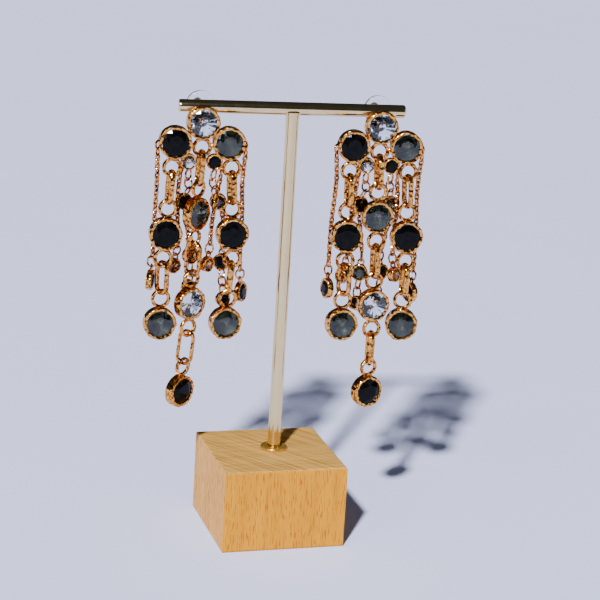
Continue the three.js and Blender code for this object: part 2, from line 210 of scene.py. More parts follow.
LOOP_TURN = {-1: LEFT_LOOP_TURN, 1: RIGHT_LOOP_TURN}
STRAND_TOP = {
    "outer": (OUTER_LOOP[0], 0, OUTER_LOOP[1] - LOOP_OUTER - FIT_GAP),
    "inner": (INNER_LOOP[0], INNER_STRAND_BACK, INNER_LOOP[1] - LOOP_OUTER - FIT_GAP),
    "small": (SMALL_SETTING_X, 0, SMALL_Z - SMALL_SETTING_RADIUS - FIT_GAP),
}

# Strand routes below their tops, in millimetres from the middle of the top setting
ROUTES = {
    "right": {
        "outer_left": [(-14.6, 1, -19.6), (-15, 3.1, -34.5), (-15.1, 3.1, -45.4),
                       (-15.5, 1.2, -58.6)],
        "inner_left": [(-7.5, 1.2, -23.2), (-8.2, 1.8, -29.6), (-8, 3.4, -35.5),
                       (-8.2, 4.4, -46.6), (-9.2, 6.4, -55.4)],
        "small_left": [(-3.8, 1.8, -22.4), (-4.9, 4.4, -28.6), (-4.2, 3.8, -38.1),
                       (-3.2, 3.4, -46.5), (-3.6, 3.4, -53.2), (-4.2, 3.4, -64.6)],
        "small_right": [(5, 1.8, -22.3), (6.3, 4.4, -28.4), (5.2, 3.8, -38),
                        (3.7, 4, -47.3), (4.4, 4.6, -53.2), (3.3, 3.6, -63.9)],
        "inner_right": [(7.7, 1.2, -23), (8, 1.6, -29.6), (8.1, 3.4, -36),
                        (7.8, 2.2, -46.6), (8.4, 0.1, -53)],
        "outer_right": [(14.8, 1, -21.9), (15.8, 3.1, -33.3), (16.1, 3.1, -48.7),
                        (15.6, 3.6, -60.5)],
    },
    "left": {
        "outer_left": [(-15.1, 1, -20.6), (-15.1, 3.1, -33.9), (-15.2, 3.1, -45.3),
                       (-15.9, 2.3, -56.3)],
        "inner_left": [(-7.5, 1.3, -23.6), (-7.4, 1.6, -29.2), (-6.9, 3.5, -35.3),
                       (-6.2, 4.6, -43.7), (-7.4, 6, -52.1)],
        "small_left": [(-4, 1.8, -23.6), (-4.8, 4.2, -28.6), (-3.4, 4, -37.6),
                       (-2.4, 4.2, -41.9), (-1.6, 4.6, -48), (-1.9, 4.4, -59.4)],
        "small_right": [(4.8, 1.8, -22.1), (7.3, 4.6, -28.6), (9.2, 4.6, -34.2),
                        (9.5, 4.6, -42.1), (9.7, 5.4, -50.6), (10.6, 4.4, -64)],
        "inner_right": [(6.7, 0.8, -21.2), (5.6, 0.6, -28.6), (4.8, 1.2, -36),
                        (4.6, 1.4, -42.2), (3.8, 1, -50.3)],
        "outer_right": [(14.9, 1, -21.6), (15.8, 3.1, -32.8), (15.9, 3.4, -49.1),
                        (16.8, 3.8, -61)],
    },
}

# Drops on each strand, from the top down: turn and stone
DROPS = {
    "right": {
        "outer_left": [(-75, "black")],
        "inner_left": [(-60, "amber")],
        "small_left": [(10, "black"), (-10, "grey"), (-30, "black")],
        "small_right": [(10, "grey"), (30, "black"), (10, "black")],
        "inner_right": [(40, "amber")],
        "outer_right": [(-70, "black")],
    },
    "left": {
        "outer_left": [(70, "black")],
        "inner_left": [(30, "amber")],
        "small_left": [(10, "black"), (20, "amber"), (20, "black")],
        "small_right": [(-10, "grey"), (-40, "black"), (10, "black")],
        "inner_right": [(40, "amber")],
        "outer_right": [(54, "black")],
    },
}

# Rows of the middle column and of the side columns, from the top down:
# name, turn of the link, turn of the setting, lean, stone, whether a ring is below
MIDDLE = {
    "right": [
        ("middle", -84, 0, 1.8, "grey", True),
        ("lower", -82, 8, 0.8, "clear", True),
        ("bottom", -88, 22, -0.6, "black", False),
    ],
    "left": [
        ("middle", -84, 42, -2.4, "grey", True),
        ("lower", -40, 28, -1.4, "clear", True),
        ("bottom", -36, 38, -5, "black", False),
    ],
}
SIDES = {
    "right": {
        -1: [("left_upper", -84, 0, 0.6, "black", True),
             ("left_lower", -58, 4, 0, "grey", False)],
        1: [("right_upper", -78, 0, 2.6, "black", True),
            ("right_lower", -86, -8, 0, "grey", False)],
    },
    "left": {
        -1: [("left_upper", -84, 0, -3.4, "black", True),
             ("left_lower", -60, 4, -0.8, "grey", False)],
        1: [("right_upper", -80, 4, 3, "black", True),
            ("right_lower", 84, 6, -3.6, "grey", False)],
    },
}
STONE_SLOT = {"black": "black_stone", "grey": "grey_stone", "clear": "clear_stone"}


# Materials

class Nodes:
    """A new material with its shader and short ways to add nodes to it."""

    def __init__(self, name, color, roughness, metallic=0.0, **inputs):
        self.material = bpy.data.materials.new(name)
        self.material.use_nodes = True
        self.tree = self.material.node_tree
        self.shader = self.tree.nodes["Principled BSDF"]
        self.shader.inputs["Base Color"].default_value = (*color, 1)
        self.shader.inputs["Roughness"].default_value = roughness
        self.shader.inputs["Metallic"].default_value = metallic
        for key, value in inputs.items():
            label = key.replace("_", " ").title().replace("Ior", "IOR")
            self.shader.inputs[label].default_value = value

    def add(self, kind, **settings):
        node = self.tree.nodes.new(kind)
        for key, value in settings.items():
            if key in node.inputs:
                node.inputs[key].default_value = value
            else:
                setattr(node, key, value)
        return node

    def link(self, source, target):
        self.tree.links.new(source, target)

    def place(self, scale, turn=0):
        """Object coordinates turned about the upright axis and scaled per millimetre."""
        coordinates = self.add("ShaderNodeTexCoord")
        rotation = self.add("ShaderNodeMapping")
        rotation.inputs["Rotation"].default_value = (0, 0, math.radians(turn))
        mapping = self.add("ShaderNodeMapping")
        mapping.inputs["Scale"].default_value = [s / MM for s in scale]
        self.link(coordinates.outputs["Object"], rotation.inputs["Vector"])
        self.link(rotation.outputs["Vector"], mapping.inputs["Vector"])
        return mapping.outputs["Vector"]

    def noise(self, scale, detail=2.0, turn=0):
        node = self.add("ShaderNodeTexNoise", Scale=1.0, Detail=detail)
        self.link(self.place(scale, turn), node.inputs["Vector"])
        return node.outputs["Fac"]

    def ramp(self, source, stops):
        node = self.add("ShaderNodeValToRGB")
        elements = node.color_ramp.elements
        elements[0].position = stops[0][0]
        elements[0].color = (*stops[0][1], 1)
        elements[1].position = stops[-1][0]
        elements[1].color = (*stops[-1][1], 1)
        for position, color in stops[1:-1]:
            elements.new(position).color = (*color, 1)
        self.link(source, node.inputs["Fac"])
        return node.outputs["Color"]

    def set(self, socket, value):
        if isinstance(value, (int, float)):
            socket.default_value = value
        else:
            self.link(value, socket)

    def mix(self, share, first, second):
        node = self.add("ShaderNodeMix", data_type="RGBA")
        for number, value in ((0, share), (6, first), (7, second)):
            self.set(node.inputs[number], value)
        return node.outputs[2]

    def calculate(self, operation, first, second):
        node = self.add("ShaderNodeMath", operation=operation)
        self.set(node.inputs[0], first)
        self.set(node.inputs[1], second)
        return node.outputs[0]

    def bump(self, source, height, strength):
        node = self.add("ShaderNodeBump", Strength=strength, Distance=height * MM)
        self.link(source, node.inputs["Height"])
        self.link(node.outputs["Normal"], self.shader.inputs["Normal"])

    def color(self, source):
        self.link(source, self.shader.inputs["Base Color"])

    def roughness(self, source, low, high):
        node = self.add("ShaderNodeMapRange")
        node.inputs["To Min"].default_value = low
        node.inputs["To Max"].default_value = high
        self.link(source, node.inputs["Value"])
        self.link(node.outputs["Result"], self.shader.inputs["Roughness"])


def toned(name, color, roughness, grain, tones, metallic=0.0, **inputs):
    """Nodes of a material whose colour runs through some tones, with grain spots per millimetre."""
    n = Nodes(name, color, roughness, metallic, **inputs)
    n.color(n.ramp(n.noise(grain), tones))
    return n


def gold_material():
    n = toned("rose_gold", (0.86, 0.44, 0.16), 0.13, (1.0, 1.0, 1.0), metallic=1.0, tones=[
        (0.37, (0.15, 0.05, 0.008)), (0.47, (0.70, 0.29, 0.045)), (0.66, (0.95, 0.48, 0.115))])
    n.roughness(n.noise((2.2, 2.2, 2.2)), low=0.05, high=0.17)
    n.bump(n.noise((0.75, 0.75, 0.75), detail=0.0), height=0.5, strength=0.8)
    return n.material


def brass_material(name, deep, pale, roughest, metallic=1.0):
    n = toned(name, pale, 0.1, (0.2, 0.2, 0.04), [(0.3, deep), (0.7, pale)], metallic)
    n.roughness(n.noise((1.5, 1.5, 0.2)), low=0.4 * roughest, high=roughest)
    return n.material


def plastic_material():
    n = Nodes("clear_plastic", (0.96, 0.97, 0.98), 0.1, transmission_weight=0.97, ior=1.33)
    n.roughness(n.noise((0.8, 0.8, 0.8)), low=0.08, high=0.2)
    return n.material


# Beech: colours along the noise on each face, and how far a face looks up or left to count as one
FRONT_WOOD = [(0.3, (0.43, 0.172, 0.002)), (0.7, (0.51, 0.217, 0.004))]
LEFT_WOOD = [(0.3, (0.54, 0.26, 0.05)), (0.7, (0.66, 0.34, 0.08))]
GROWTH_RINGS = [(0.38, (0.22, 0.11, 0.02)), (0.56, (0.50, 0.29, 0.07))]
SAW_MARKS = [(0.42, (0.30, 0.16, 0.035)), (0.58, (0.54, 0.32, 0.09))]
SAW_SHARE = 0.35
GROWTH_TURN = -35.6
FACE_LIMIT = 0.6
FLECK_EDGE = [(0.625, (0, 0, 0)), (0.66, (1, 1, 1))]
FLECK_COLOR = (0.25, 0.07, 0.001, 1)
FLECK_STRENGTH = 0.75
FLECK_LESS_ON_TOP = 0.5


def wood_material():
    n = Nodes("beech", (0.6, 0.4, 0.2), 0.6, specular_ior_level=0.15)
    parts = n.add("ShaderNodeSeparateXYZ")
    n.link(n.add("ShaderNodeTexCoord").outputs["Normal"], parts.inputs["Vector"])
    on_top = n.calculate("GREATER_THAN", parts.outputs["Z"], FACE_LIMIT)
    on_left = n.calculate("LESS_THAN", parts.outputs["X"], -FACE_LIMIT)

    grain = n.noise((0.35, 0.35, 0.03), detail=4.0)
    rings = n.noise((2.1, 0.03, 0.02), turn=GROWTH_TURN)
    saw = n.noise((0.05, 1.8, 0.02))
    top = n.mix(SAW_SHARE, n.ramp(rings, GROWTH_RINGS), n.ramp(saw, SAW_MARKS))
    sides = n.mix(on_left, n.ramp(grain, FRONT_WOOD), n.ramp(grain, LEFT_WOOD))
    base = n.mix(on_top, sides, top)

    flecks = n.ramp(n.noise((2.7, 2.7, 0.26), detail=0.0), FLECK_EDGE)
    less = n.calculate("MULTIPLY", on_top, FLECK_LESS_ON_TOP)
    strength = n.calculate("SUBTRACT", FLECK_STRENGTH, less)
    amount = n.calculate("MULTIPLY", flecks, strength)
    dark = n.add("ShaderNodeRGB")
    dark.outputs[0].default_value = FLECK_COLOR
    n.color(n.mix(amount, base, dark.outputs[0]))
    n.bump(grain, height=0.06, strength=0.35)
    return n.material


GOLD = gold_material()
BRASS = brass_material("yellow_gold_tube", (0.72, 0.53, 0.22), (0.84, 0.66, 0.34), 0.16)
FLANGE = brass_material("yellow_gold_flange", (0.60, 0.34, 0.05), (0.74, 0.45, 0.09), 0.34, 0.85)
PLASTIC = plastic_material()
WOOD = wood_material()
BLACK = toned("black_glass", (0.006, 0.006, 0.008), 0.03, (0.6, 0.6, 0.6), specular_ior_level=0.09,
              tones=[(0.35, (0.0008, 0.0008, 0.001)), (0.75, (0.003, 0.003, 0.0035))]).material
GREY = toned("smoky_glass", (0.32, 0.36, 0.36), 0.02, (0.3, 0.3, 0.3),
             tones=[(0.3, (0.62, 0.67, 0.64)), (0.7, (0.74, 0.79, 0.75))],
             transmission_weight=1.0, ior=1.52).material
CRYSTAL = toned("clear_crystal", (0.95, 0.97, 1.0), 0.01, (0.3, 0.3, 0.3),
                tones=[(0.3, (0.90, 0.93, 0.96)), (0.7, (1.0, 1.0, 1.0))],
                transmission_weight=1.0, ior=1.52).material
FOIL = toned("silver_foil", (0.92, 0.93, 0.95), 0.05, (0.5, 0.5, 0.5), metallic=1.0,
             tones=[(0.3, (0.80, 0.82, 0.85)), (0.6, (0.97, 0.98, 1.0))]).material
DARK_FOIL = toned("dark_foil", (0.10, 0.11, 0.105), 0.19, (0.4, 0.4, 0.4), metallic=1.0,
                  tones=[(0.3, (0.11, 0.13, 0.10)), (0.7, (0.25, 0.285, 0.235))]).material
FLOOR = toned("pale_floor", (0.53, 0.60, 0.71), 0.9, (0.006, 0.006, 0.006),
              tones=[(0.3, (0.56, 0.61, 0.93)), (0.7, (0.58, 0.63, 0.95))]).material

# Looks of a stone's front and of its pavilion
STONE_FACES = {
    "black": (BLACK, BLACK),
    "grey": (GREY, DARK_FOIL),
    "clear": (CRYSTAL, FOIL),
    "amber": (CRYSTAL, GOLD),
}


# Bodies

def in_scene(name, data):
    """A new object of the scene with its mesh, lamp or camera."""
    thing = bpy.data.objects.new(name, data)
    bpy.context.scene.collection.objects.link(thing)
    return thing


def turn_outward(mesh):
    edit = bmesh.new()
    edit.from_mesh(mesh)
    bmesh.ops.recalc_face_normals(edit, faces=edit.faces)
    edit.to_mesh(mesh)
    edit.free()


class Body:
    """Vertices and faces in millimetres that become one piece."""

    def __init__(self):
        self.verts = []
        self.faces = []
        self.looks = []
        self.smooth = []

    def add(self, shape, look, matrix=None):
        verts, faces = shape
        first = len(self.verts)
        for v in verts:
            point = Vector(v)
            self.verts.append(matrix @ point if matrix else point)
        for face in faces:
            self.faces.append([first + i for i in face])
            self.looks.append(look)
            self.smooth.append(True)

    def finish(self, name, node, slot_name, place):
        """One object in place of a node, with flat and smooth faces as they were added."""
        looks = list(dict.fromkeys(self.looks))
        mesh = bpy.data.meshes.new(name)
        mesh.from_pydata([(place @ v) * MM for v in self.verts], [], self.faces)
        for look in looks:
            mesh.materials.append(look)
        for polygon, look in zip(mesh.polygons, self.looks):
            polygon.material_index = looks.index(look)
        turn_outward(mesh)
        mesh.set_sharp_from_angle(angle=math.radians(CREASE))
        for polygon, smooth in zip(mesh.polygons, self.smooth):
            polygon.use_smooth = smooth
        piece = in_scene(name, mesh)
        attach(piece, "root")
        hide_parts(node)


def put(at, turn=0, lean=0):
    """Turned about the upright axis, leaned sideways and moved."""
    leaned = Matrix.Translation(at) @ Matrix.Rotation(-math.radians(lean), 4, "Y")
    return leaned @ Matrix.Rotation(math.radians(turn), 4, "Z")


def turned(profile, steps=ROUND_STEPS, wobble=None):
    """A round body about Y from radius and depth pairs that close on themselves or on the axis."""
    verts = []
    rows = []
    for radius, depth in profile:
        if radius == 0:
            rows.append([len(verts)] * steps)
            verts.append((0, depth, 0))
            continue
        row = []
        for i in range(steps):
            angle = 2 * math.pi * i / steps
            r = radius + (wobble(angle, depth) if wobble else 0)
            row.append(len(verts))
            verts.append((r * math.sin(angle), depth, r * math.cos(angle)))
        rows.append(row)
    faces = []
    pairs = list(zip(rows, rows[1:]))
    if profile[0][0] != 0:
        pairs.append((rows[-1], rows[0]))
    for a, b in pairs:
        for i in range(steps):
            j = (i + 1) % steps
            faces.append(list(dict.fromkeys([a[i], a[j], b[j], b[i]])))
    return verts, faces


def loop_tube(points, radius, sides=WIRE_STEPS, hammer=0.0):
    """A wire of round section that runs through a closed loop of points in one plane."""
    count = len(points)
    middle = sum(points, Vector()) / count
    verts = []
    for i, point in enumerate(points):
        along = (points[(i + 1) % count] - points[i - 1]).normalized()
        across = (points[i] - middle).cross(along).normalized()
        outward = along.cross(across)
        for k in range(sides):
            angle = 2 * math.pi * k / sides
            out = math.cos(angle) * outward + math.sin(angle) * across
            dent = hammer * noise.noise((point + 2 * out) / HAMMER_PITCH)
            verts.append(point + (radius + dent) * out)
    faces = []
    for i in range(count):
        for k in range(sides):
            a = i * sides + k
            b = i * sides + (k + 1) % sides
            c = ((i + 1) % count) * sides + (k + 1) % sides
            d = ((i + 1) % count) * sides + k
            faces.append([a, b, c, d])
    return verts, faces


def oval(length, width, wire, steps=OVAL_STEPS, sides=WIRE_STEPS, hammer=0.0):
    """A wire oval that faces -Y, of outer length along Z and outer width along X."""
    end = width / 2 - wire
    straight = length / 2 - width / 2
    points = []
    for i in range(steps):
        angle = 2 * math.pi * (i + 0.5) / steps
        z = end * math.cos(angle)
        points.append(Vector((end * math.sin(angle), 0, z + math.copysign(straight, z))))
    return loop_tube(points, wire, sides, hammer)


def ring(radius, wire):
    outer = 2 * (radius + wire)
    return oval(outer, outer, wire, ROUND_STEPS, hammer=HAMMER_DEPTH * wire / RING_WIRE)


def bezel(radius, depth, wall, lip, phase):
    """Open collet with a rolled lip whose edge is slightly uneven, as worked by hand."""
    front = -depth / 2
    back = depth / 2

    def wobble(angle, at):
        near_front = max(0.0, 1 - (at - front) / (EDGE_REACH * depth))
        uneven = sum(height * math.sin(number * angle + share * phase)
                     for number, height, share in EDGE_WAVES)
        spot = Vector((math.sin(angle), at / radius + phase, math.cos(angle))) * radius
        struck = EDGE_HAMMER[0] + EDGE_HAMMER[1] * near_front
        hammered = HAMMER_DEPTH * struck * noise.noise(spot / HAMMER_PITCH)
        return radius * (EDGE_UNEVEN[0] + EDGE_UNEVEN[1] * near_front) * uneven + hammered

    roll = wall / 2
    profile = [(radius - wall, back), (radius - wall, front + LIP_TAPER * wall),
               (radius - lip, front + roll),
               (radius - lip + LIP_EDGE * wall, front + LIP_SLANT * roll)]
    for step in range(ROLL_STEPS + 1):
        angle = math.pi / 2 * step / ROLL_STEPS
        profile.append((radius - roll + roll * math.sin(angle) - LIP_EDGE * wall * math.cos(angle),
                        front + roll - roll * math.cos(angle) - LIP_FORWARD))
    profile += [(radius, back - BACK_BEVEL * wall), (radius - BACK_BEVEL * wall, back)]
    return turned(profile, wobble=wobble)


def cut_stone(body, looks, girdle, table_at, girdle_at, culet_at, place):
    """Brilliant cut with flat table, star, kite and girdle facets, and a pavilion behind them."""
    table = TABLE_SHARE * girdle
    star = STAR_SHARE * (table + girdle)
    half_step = math.pi / FACETS
    reach = (star * math.cos(half_step) - table) / (girdle - table)
    star_at = table_at + reach * (girdle_at - table_at)

    def circle(radius, depth, count, offset=0.0):
        angles = [offset + 2 * math.pi * i / count for i in range(count)]
        return [(radius * math.sin(angle), depth, radius * math.cos(angle)) for angle in angles]

    rim = 2 * FACETS
    culet = 2 * rim
    verts = circle(table, table_at, FACETS) + circle(star, star_at, FACETS, half_step)
    verts += circle(girdle, girdle_at, rim) + [(0, culet_at, 0)]
    crown = [list(range(FACETS))]
    for k in range(FACETS):
        after = (k + 1) % FACETS
        before = (k - 1) % FACETS
        tip = rim + 2 * k
        crown.append([k, after, FACETS + k])
        crown.append([k, FACETS + k, tip, FACETS + before])
        crown.append([FACETS + k, tip, tip + 1])
        crown.append([FACETS + k, tip + 1, rim + 2 * after])
    pavilion = [[rim + i, rim + (i + 1) % rim, culet] for i in range(rim)]
    first = len(body.verts)
    body.verts += [place @ Vector(v) for v in verts]
    for group, look in zip((crown, pavilion), looks):
        for face in group:
            body.faces.append([first + i for i in face])
            body.looks.append(look)
            body.smooth.append(False)


def cup_and_stone(body, radius, kind, phase, place):
    """A small closed cup with its stone, as used in the cluster and on the strands."""
    back = SMALL_DEPTH / 2
    wall = CUP_WALL * radius
    lip = CUP_LIP * radius
    body.add(bezel(radius, SMALL_DEPTH, wall, lip, phase), GOLD, place)
    edge = radius - PLATE_IN_WALL * wall
    inside = back - PLATE_THICKNESS
    body.add(turned([(0, inside), (edge, inside), (edge, back), (0, back)]), GOLD, place)
    cut_stone(body, STONE_FACES[kind], radius - lip + SMALL_GIRDLE_UNDER_LIP,
              -back - CUP_STONE_RISE * radius, -back + SMALL_GIRDLE_SETBACK,
              back - SMALL_CULET_GAP, place)


# Stand

def rounded_rod(length, radius, end_round, steps=ROD_STEPS):
    """A rod about the Y axis with rounded ends."""
    half = length / 2
    angles = [math.pi / 2 * step / ROD_END_STEPS for step in range(ROD_END_STEPS + 1)]
    ends = [(-1, math.sin(angle), math.cos(angle)) for angle in angles]
    ends += [(1, math.cos(angle), math.sin(angle)) for angle in angles]
    profile = [(0, -half)]
    for sign, across, along in ends:
        profile.append((radius - end_round * (1 - across), sign * (half - end_round * (1 - along))))
    profile.append((0, half))
    return turned(profile, steps)


UPRIGHT = Matrix.Translation((*ROD_AT, 0)) @ Matrix.Rotation(math.radians(BAR_TURN), 4, "Z")
TO_Z = Matrix.Rotation(math.pi / 2, 4, "X")
TO_X = Matrix.Rotation(math.pi / 2, 4, "Z")


def moved(shape, matrix):
    return [matrix @ Vector(v) for v in shape[0]], shape[1]


def work_object(shape):
    """A temporary object for one closed shape, to join or to cut with."""
    mesh = bpy.data.meshes.new("work")
    mesh.from_pydata(shape[0], [], shape[1])
    turn_outward(mesh)
    return in_scene("work", mesh)


def joined(first, others, holes):
    """One closed shape: the first joined with the others, and the holes cut out of it."""
    base = work_object(first)
    things = [base]
    for shapes, operation in ((others, "UNION"), (holes, "DIFFERENCE")):
        for shape in shapes:
            step = base.modifiers.new("step", "BOOLEAN")
            step.operation = operation
            step.solver = "EXACT"
            step.object = work_object(shape)
            things.append(step.object)
    done = base.evaluated_get(bpy.context.evaluated_depsgraph_get())
    result = bpy.data.meshes.new_from_object(done)
    whole = [v.co.copy() for v in result.vertices], [list(p.vertices) for p in result.polygons]
    bpy.data.meshes.remove(result)
    for thing in things:
        mesh = thing.data
        bpy.data.objects.remove(thing)
        bpy.data.meshes.remove(mesh)
    return whole


def make_t_bar():
    """Rod and crossbar welded into one, with a hole through the bar for each ear post."""
    at_bar = Matrix.Translation((0, 0, BAR_HEIGHT))
    bar = moved(rounded_rod(BAR_LENGTH, ROD_RADIUS, BAR_END_ROUND), at_bar @ TO_X)
    bottom = BLOCK_HEIGHT - ROD_DEPTH
    top = BAR_HEIGHT - ROD_RADIUS / 2
    profile = [(0, bottom), (ROD_RADIUS - ROD_END_ROUND, bottom),
               (ROD_RADIUS, bottom + ROD_END_ROUND)]
    for step in range(WELD_STEPS + 1):
        rise = step / WELD_STEPS
        profile.append((ROD_RADIUS + (WELD_RADIUS - ROD_RADIUS) * rise ** 2,
                        top - WELD_DROP * (1 - rise)))
    profile.append((0, top))
    rod = moved(turned(profile, ROD_STEPS), TO_Z)
    hole = rounded_rod(4 * ROD_RADIUS, POST_HOLE_RADIUS, ROD_END_ROUND, HOLE_STEPS)
    holes = [moved(hole, Matrix.Translation((x, 0, BAR_HEIGHT))) for x in HANG.values()]
    body = Body()
    body.add(joined(bar, [rod], holes), BRASS)
    body.finish("t_bar_tube", "t_bar", "brass_tube", UPRIGHT)


def make_collar():
    """Flange with a raised bead round its edge and a dished face."""
    bore = ROD_RADIUS + FIT_GAP / 3
    profile = [(bore, 0), (COLLAR_RADIUS, 0)]
    for step in range(COLLAR_STEPS + 1):
        angle = math.radians(COLLAR_CURL) * step / COLLAR_STEPS
        profile.append((COLLAR_RADIUS - COLLAR_BEAD * (1 - math.cos(angle)),
                        COLLAR_HEIGHT - COLLAR_BEAD * (1 - math.sin(angle))))
    profile.append((bore, COLLAR_HEIGHT - COLLAR_DISH))
    body = Body()
    body.add(turned(profile, ROD_STEPS), FLANGE, TO_Z)
    body.finish("collar_flange", "collar", "brass_tube",
                UPRIGHT @ Matrix.Translation((0, 0, BLOCK_HEIGHT)))


# Earrings

def below(point, distance, lean):
    angle = math.radians(lean)
    return (point[0] + distance * math.sin(angle), point[1], point[2] - distance * math.cos(angle))


def collet(phase):
    return bezel(SETTING_RADIUS, SETTING_DEPTH, SETTING_WALL, SETTING_LIP, phase)


def make_cluster(side, place):
    """The three soldered collets with their rings, small cups, loops, solder and ear post."""
    body = Body()
    body.add(collet(TOP_PHASE), GOLD)
    body.add(ring(RING_RADIUS, RING_WIRE), GOLD, put((0, 0, CENTRE_RING_Z)))
    post = [(0, 0), (POST_RADIUS, 0), (POST_RADIUS, POST_LENGTH - POST_TIP),
            (POST_RADIUS - POST_TAPER, POST_LENGTH), (0, POST_LENGTH)]
    body.add(turned(post, POST_STEPS), GOLD, put((0, SETTING_DEPTH / 2 - FIT_GAP, POST_RISE)))
    blob = rounded_rod(2 * SOLDER_RADIUS, SOLDER_RADIUS, SOLDER_RADIUS, SOLDER_STEPS)
    for sign in (-1, 1):
        at = (sign * SIDE_X, 0, SIDE_Z)
        body.add(collet(SIDE_PHASE * sign), GOLD, put(at))
        ring_at = below(at, SETTING_TO_RING, RING_SPLAY[sign])
        body.add(ring(RING_RADIUS, RING_WIRE), GOLD, put(ring_at))
        cup_and_stone(body, SMALL_SETTING_RADIUS, "clear" if sign < 0 else "black", sign,
                      put((sign * SMALL_SETTING_X, 0, SMALL_Z)))
        for x, z in (OUTER_LOOP, INNER_LOOP):
            body.add(ring(LOOP_RADIUS, LOOP_WIRE), GOLD, put((sign * x, 0, z), LOOP_TURN[sign]))
        for z, radius in ((0, SETTING_RADIUS), (CENTRE_RING_Z, RING_OUTER)):
            reach = SETTING_RADIUS / (SETTING_RADIUS + radius)
            blob_x = SIDE_X - SIDE_X * reach
            blob_z = SIDE_Z + (z - SIDE_Z) * reach
            body.add(blob, GOLD, put((sign * blob_x, 0, blob_z)))
    body.finish(f"{side}_cluster_metal", f"{side}_cluster", "gold", place)


def make_stone(side, name, kind, place):
    body = Body()
    cut_stone(body, STONE_FACES[kind], SETTING_RADIUS - SETTING_LIP + GIRDLE_UNDER_LIP,
              FRONT - STONE_RISE, FRONT + GIRDLE_SETBACK, SETTING_DEPTH / 2 - FIT_GAP,
              Matrix.Identity(4))
    body.finish(f"{side}_{name}_cut", f"{side}_{name}", STONE_SLOT[kind], place)


def make_clutch(side, place):
    """A clear disc on a grooved metal barrel, as two pieces for one node."""
    bore = POST_RADIUS + CLUTCH_GAP
    edge = DISC_THICKNESS / 2
    flat = DISC_RADIUS - edge
    disc = [(bore, 0), (flat, 0)]
    for step in range(1, DISC_EDGE_STEPS):
        angle = math.pi * step / DISC_EDGE_STEPS
        disc.append((flat + edge * math.sin(angle), edge - edge * math.cos(angle)))
    disc += [(flat, DISC_THICKNESS), (bore, DISC_THICKNESS)]
    end = DISC_THICKNESS + BARREL_LENGTH
    barrel = [(bore, BARREL_START), (BARREL_RADIUS - BARREL_BEVEL, BARREL_START),
              (BARREL_RADIUS, BARREL_START + BARREL_BEVEL)]
    barrel += [(BARREL_RADIUS - inset, DISC_THICKNESS + along) for inset, along in BARREL_GROOVE]
    barrel += [(BARREL_RADIUS, end - BARREL_END_BEVEL), (BARREL_RADIUS - BARREL_END_BEVEL, end),
               (bore, end)]
    back = CLUSTER_BACK + ROD_RADIUS + 2 * FIT_GAP
    at = place @ Matrix.Translation((0, back, POST_RISE))
    for profile, look, part, slot_name in ((disc, PLASTIC, "disc", "clear_plastic"),
                                           (barrel, GOLD, "barrel", "gold")):
        body = Body()
        body.add(turned(profile), look)
        body.finish(f"{side}_clutch_{part}", f"{side}_clutch", slot_name, at)


def setting_metal(ring_below, phase):
    body = Body()
    body.add(collet(phase), GOLD)
    for sign in (1, -1) if ring_below else (1,):
        body.add(ring(RING_RADIUS, RING_WIRE), GOLD, put((0, 0, sign * SETTING_TO_RING)))
    return body


def link_oval(length):
    """A heavy link, broader than it is thick."""
    width = 2 * (LINK_END_RADIUS + LINK_WIRE)
    verts, faces = oval(length, width, LINK_WIRE, ROUND_STEPS, LINK_SIDES, HAMMER_DEPTH)
    broad = Matrix.Diagonal((1, LINK_BREADTH / LINK_WIRE, 1, 1))
    return [broad @ v for v in verts], faces


def make_middle(side, place):
    """The middle column, whose links hang loose in the rings above and below them."""
    ring_at = (0, 0, CENTRE_RING_Z)
    for number, (name, link_turn, turn, lean, kind, ring_below) in enumerate(MIDDLE[side]):
        link_at = below(ring_at, RING_TO_RING / 2, lean)
        stone_at = below(ring_at, RING_TO_RING + SETTING_TO_RING, lean)
        link = Body()
        link.add(link_oval(LINK_LENGTH), GOLD)
        link.finish(f"{side}_{name}_oval", f"{side}_{name}_link", "gold",
                    place @ put(link_at, link_turn, lean))
        at = place @ put(stone_at, turn, lean)
        metal = setting_metal(ring_below, MIDDLE_PHASE_STEP * number)
        metal.finish(f"{side}_{name}_metal", f"{side}_{name}_setting", "gold", at)
        make_stone(side, f"{name}_stone", kind, at)
        ring_at = below(stone_at, SETTING_TO_RING, lean)


def make_side_column(side, sign, place):
    """A side column, whose links are closed onto the setting below them."""
    ring_at = below((sign * SIDE_X, 0, SIDE_Z), SETTING_TO_RING, RING_SPLAY[sign])
    bonded = LINK_LENGTH - LINK_PLAY - LINK_WIRE / 2
    link_up = SETTING_TO_RING + RING_TO_RING / 2 + (LINK_LENGTH - bonded) / 2
    for number, (name, link_turn, turn, lean, kind, ring_below) in enumerate(SIDES[side][sign]):
        stone_at = below(ring_at, RING_TO_RING + SETTING_TO_RING, lean)
        at = place @ put(stone_at, turn, lean)
        metal = setting_metal(ring_below, COLUMN_PHASE_STEP * number + sign)
        metal.add(link_oval(bonded), GOLD, put((0, 0, link_up), link_turn - turn))
        metal.finish(f"{side}_{name}_metal", f"{side}_{name}_setting", "gold", at)
        make_stone(side, f"{name}_stone", kind, at)
        ring_at = below(stone_at, SETTING_TO_RING, lean)


# Strands

def spline(points):
    """Points along a uniform Catmull-Rom curve with tension one half."""
    ends = [2 * points[0] - points[1], *points, 2 * points[-1] - points[-2]]
    line = []
    for k in range(1, len(ends) - 2):
        a, b, c, d = ends[k - 1:k + 3]
        for i in range(SPLINE_SAMPLES):
            t = i / SPLINE_SAMPLES
            line.append(0.5 * ((2 * b) + (c - a) * t + (2 * a - 5 * b + 4 * c - d) * t ** 2
                               + (3 * b - a - 3 * c + d) * t ** 3))
    line.append(points[-1])
    return line


def stretch(line, first, last, trim_first, trim_last):
    """The part of a line between two of its points, less a trim at each end."""
    start = line[first]
    end = line[last]
    return [p for p in line[first:last + 1]
            if (p - start).length >= trim_first and (p - end).length >= trim_last]


